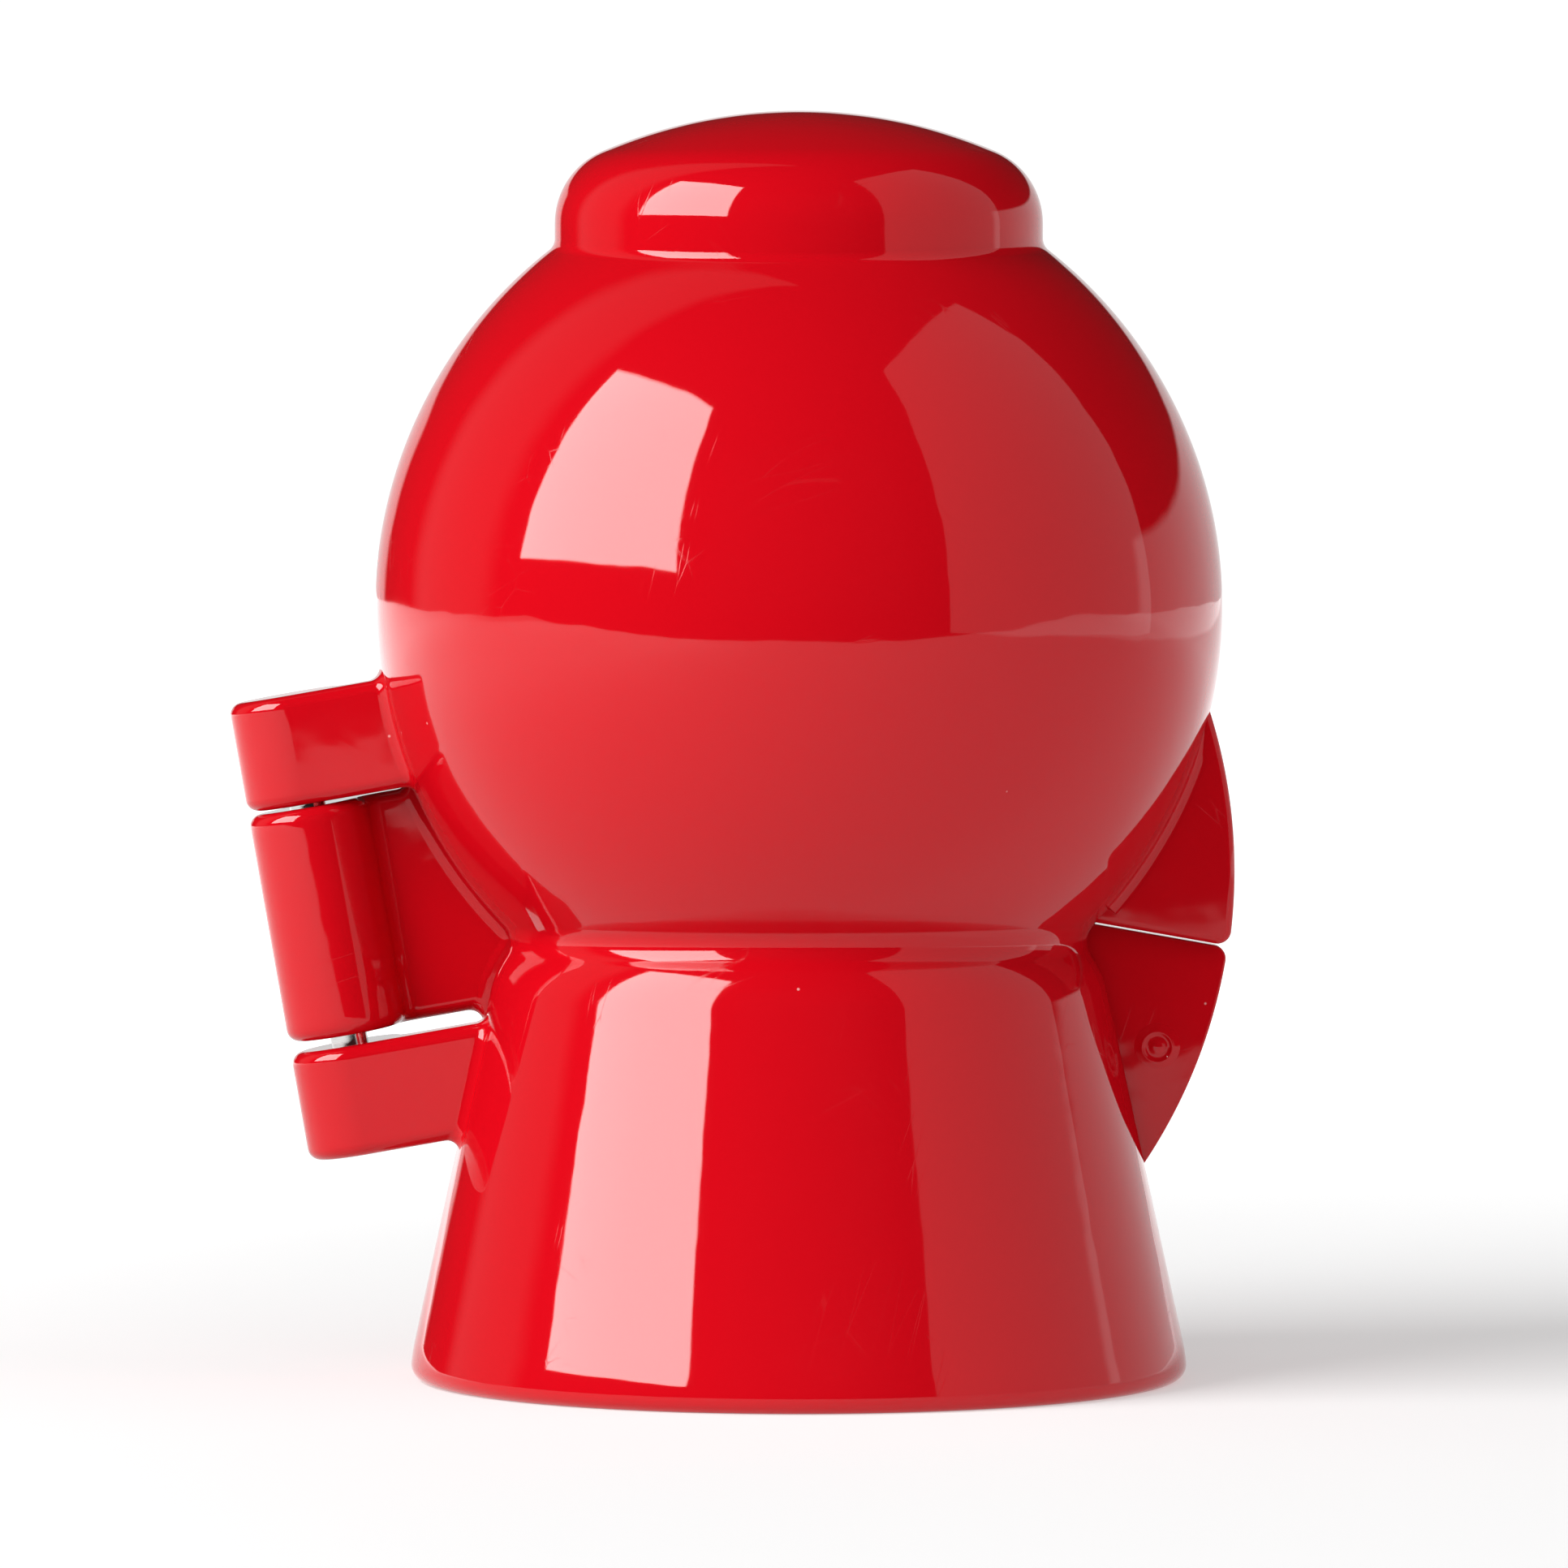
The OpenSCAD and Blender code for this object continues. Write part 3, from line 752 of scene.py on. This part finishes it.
def wall_depth(x, z):
    """How far the inside of the wall lies from the parting plane, at a place on that plane."""
    return furthest(0.0, BALL_RADIUS, lambda y: body_distance(Vector((x, y, z))) < -WALL)


def turned_piece(outline, steps):
    """A solid turned round the y axis from its outline, given as (radius, y)."""
    bm = bmesh.new()
    verts = [bm.verts.new((radius, y, 0)) for radius, y in outline]
    edges = [bm.edges.new(pair) for pair in zip(verts, verts[1:])]
    bmesh.ops.spin(bm, geom=verts + edges, cent=(0, 0, 0), axis=(0, 1, 0), angle=2 * math.pi,
                   steps=steps, use_merge=True, use_duplicate=False)
    bmesh.ops.remove_doubles(bm, verts=bm.verts, dist=1e-4)
    return bm


def four_places(place):
    """The four places that mirror one place across both axes of the slicer's leaning frame."""
    return [(x * place[0], z * place[1]) for x in (-1, 1) for z in (-1, 1)]


def screw_post(side, x, z, top, hole_end):
    """A post from its top, at a distance behind the parting plane, to the wall, whose slant its foot
    follows."""
    spot = SLICER @ Vector((x, 0, z))
    foot = wall_depth(spot.x, spot.z)
    outline = [(0, hole_end), (POST_HOLE_R, hole_end), (POST_HOLE_R, top + POST_CHAMFER),
               (POST_HOLE_R + POST_CHAMFER, top), (POST_R - POST_CHAMFER, top),
               (POST_R, top + POST_CHAMFER)]
    flare = arc((POST_R + POST_FOOT_R, foot - POST_FOOT_R), POST_FOOT_R, math.pi, math.pi / 2, 6)
    outline += [(p.x, p.y) for p in flare] + [(POST_R, foot + WALL / 2), (0, foot + WALL / 2)]
    bm = turned_piece(outline, 40)
    bmesh.ops.translate(bm, verts=bm.verts, vec=(spot.x, 0, spot.z))
    for vert in bm.verts:
        if vert.co.y > foot - POST_FOOT_R - 0.01:
            vert.co.y += wall_depth(vert.co.x, vert.co.z) - foot
        vert.co.y *= side
    return bm


# ---- Front shell ----------------------------------------------------------------------------------
# The half that swings open, moulded in one with the top and bottom knuckles, which grip the pin, and
# the upper thumb tab. Four posts inside it carry the wire frame.

KNUCKLE_H = 10.4
LOWER_KNUCKLE = -10.8
UPPER_KNUCKLE = 22.7
LOWER_DRAFT = 0.5
UPPER_DRAFT = 1.4
FRONT_CORNER_R = 0.8
FRAME_POSTS = (22.574, 21.6)
FRAME_POST_TOP = 7.0
FRAME_POST_HOLE = 15.8

front = half_body(-1)
for station, draft in ((LOWER_KNUCKLE, LOWER_DRAFT), (UPPER_KNUCKLE, UPPER_DRAFT)):
    join(front, moulded_knuckle(-1, HALF_GAP, station, KNUCKLE_H, FRONT_CORNER_R, draft), HINGE)
join(front, moulded_tab(-1))
join(front, tab_fillet(-1))
for x, z in four_places(FRAME_POSTS):
    join(front, screw_post(-1, x, z, FRAME_POST_TOP, FRAME_POST_HOLE))
finish_piece("front_shell_moulding", front, red_plastic, "front", "front_shell")

# ---- Rear shell -----------------------------------------------------------------------------------
# The half that holds the egg: its long middle barrel runs on the pin and stands on a flat web, set back
# from the parting plane. The lower thumb tab's parting face has the trimmed stub of the moulding gate.

BARREL_LOW = 0.6
BARREL_H = 21.8
WEB_SET_BACK = 0.3
WEB_CORNER_R = 1.4
WEB_SINK = 0.19
GATE_PLACE = Vector((33.9, 31.3))
GATE_RING_R = 1.45
GATE_STUB_R = 0.75
CRADLE_POSTS = (23.8, 10.0)
CRADLE_POST_TOP = 20.5
CRADLE_POST_HOLE = 26.5


def gate_mark():
    """The trimmed gate on the lower tab: a small dome inside a low ring, whose outside runs out onto
    the face. Its outline is given as (radius, height above the face)."""
    dome = [(0.0, 0.26), (0.3, 0.25), (0.55, 0.19), (GATE_STUB_R, 0.07), (1.0, 0.03)]
    ring = [(1.2, 0.06), (1.35, 0.17), (GATE_RING_R, 0.19), (1.55, 0.15), (1.75, 0.08), (2.0, 0.04)]
    buried = [(2.25, -0.02), (2.25, -0.5), (0.0, -0.5)]
    bm = turned_piece([(radius, HALF_GAP - out) for radius, out in dome + ring + buried], 48)
    back = tab_lean(1, GATE_PLACE.y)
    bmesh.ops.translate(bm, verts=bm.verts, vec=(GATE_PLACE.x, back, GATE_PLACE.y))
    return bm


rear = half_body(1)
web = moulded_knuckle(1, WEB_SET_BACK, BARREL_LOW, BARREL_H, WEB_CORNER_R, 0.0, WEB_SINK)
join(rear, web, HINGE)
join(rear, moulded_tab(1))
join(rear, tab_fillet(1))
join(rear, gate_mark())
for x, z in four_places(CRADLE_POSTS):
    join(rear, screw_post(1, x, z, CRADLE_POST_TOP, CRADLE_POST_HOLE))
finish_piece("rear_shell_moulding", rear, red_plastic, "base", "rear_shell")

# ---- Hinge pin ------------------------------------------------------------------------------------
# A drawn and polished steel pin, pressed into the front shell's two knuckles, with the rear barrel
# turning on it. Fine marks run round it, and it shows in the gap above the bottom knuckle.

ALONG_HINGE = (0, -SPLIT_LEAN, 0)


def bare_metal(name, dull, bright, rough, grain, relief, stretch):
    """A bare metal: its tone and roughness drift, over a fine grain that stretch draws out into
    streaks."""
    material, shader, flow = new_material(name)
    place = flow.node("ShaderNodeTexCoord", out="Object")
    streaked = flow.node("ShaderNodeMapping", {"vector_type": "TEXTURE"},
                         {"Vector": place, "Rotation": ALONG_HINGE, "Scale": stretch})
    drift = noise(flow, place, 110.0, 3.0)
    fine = noise(flow, streaked, grain, 3.0, 0.6)
    tone = (drift * 0.5 + fine * 0.5).fade(0.3, 0.7)
    flow.tree.links.new(tone.tint(dull, bright).socket, shader.inputs["Base Color"])
    flow.tree.links.new((rough + drift * 0.08 + fine * 0.1).socket, shader.inputs["Roughness"])
    bump = flow.node("ShaderNodeBump", {}, {"Height": fine * relief, "Distance": 1.0, "Strength": 1.0})
    flow.tree.links.new(bump.socket, shader.inputs["Normal"])
    shader.inputs["Metallic"].default_value = 1.0
    return material


def give(material, slot):
    """Puts a finish on every CAD node of one material slot."""
    for row in frame["record"]["subparts"]:
        if row["material_slot"] == slot:
            frame["nodes"][row["node"]].data.materials.clear()
            frame["nodes"][row["node"]].data.materials.append(material)


give(bare_metal("pin_steel", (0.52, 0.51, 0.50), (0.72, 0.71, 0.70), 0.06, 2600.0, 0.000002,
                (12, 12, 1)), "pin_steel")

# ---- Wire frame and retaining ring ----------------------------------------------------------------
# Cast aluminium, tumbled to a satin skin: the frame stands on the front shell's posts, and the thinner
# ring behind it closes the grooves that the wires lie in.

give(bare_metal("frame_aluminium", (0.60, 0.60, 0.61), (0.80, 0.80, 0.81), 0.26, 2200.0, 0.000010,
                (1, 1, 1)), "frame_aluminium")

# ---- Cutting wires and ferrules -------------------------------------------------------------------
# Eleven drawn stainless wires under tension, each with a short steel ferrule crimped on both of its ends.
# Drawing leaves fine streaks along a wire, and crimping leaves the ferrules rougher and darker.

give(bare_metal("wire_steel", (0.58, 0.58, 0.58), (0.80, 0.80, 0.79), 0.08, 5200.0, 0.000001,
                (20, 1, 1)), "wire_steel")
give(bare_metal("ferrule_steel", (0.36, 0.36, 0.35), (0.62, 0.62, 0.60), 0.22, 3400.0, 0.000006,
                (1, 1, 1)), "ferrule_steel")

# ---- Screws ---------------------------------------------------------------------------------------
# Stainless pan-head screws with a cross recess. Four go through the ring and the wire frame into the
# front shell's posts, and four go through the cradle's ears into the rear shell's.

give(bare_metal("screw_steel", (0.50, 0.50, 0.49), (0.74, 0.74, 0.72), 0.14, 3000.0, 0.000003,
                (1, 6, 1)), "screw_steel")

# ---- Egg cradle -----------------------------------------------------------------------------------
# One ivory moulding with the egg's hollow in its face and a slot for each wire, screwed into the rear
# shell. Its satin surface has a fine spark-eroded grain, and its tone and gloss drift a little.

IVORY_DEEP = (0.80, 0.76, 0.66)
IVORY_PALE = (0.86, 0.84, 0.77)
CRADLE_SATIN = 0.34
CRADLE_GRAIN_DEPTH = 0.000012

cradle_plastic, cradle_shader, cradle_flow = new_material("cradle_plastic")
cradle_place = cradle_flow.node("ShaderNodeTexCoord", out="Object")
cradle_drift = noise(cradle_flow, cradle_place, 38.0, 3.0)
cradle_grain = noise(cradle_flow, cradle_place, 2400.0, 2.0, 0.6)
cradle_colour = cradle_drift.fade(0.3, 0.7).tint(IVORY_DEEP, IVORY_PALE)
cradle_rough = CRADLE_SATIN + cradle_drift * 0.16 + cradle_grain * 0.06
cradle_bump = cradle_flow.node("ShaderNodeBump", {}, {"Height": cradle_grain * CRADLE_GRAIN_DEPTH,
                                                      "Distance": 1.0, "Strength": 1.0})
cradle_flow.tree.links.new(cradle_colour.socket, cradle_shader.inputs["Base Color"])
cradle_flow.tree.links.new(cradle_rough.socket, cradle_shader.inputs["Roughness"])
cradle_flow.tree.links.new(cradle_bump.socket, cradle_shader.inputs["Normal"])
cradle_shader.inputs["IOR"].default_value = 1.46
give(cradle_plastic, "cradle_plastic")
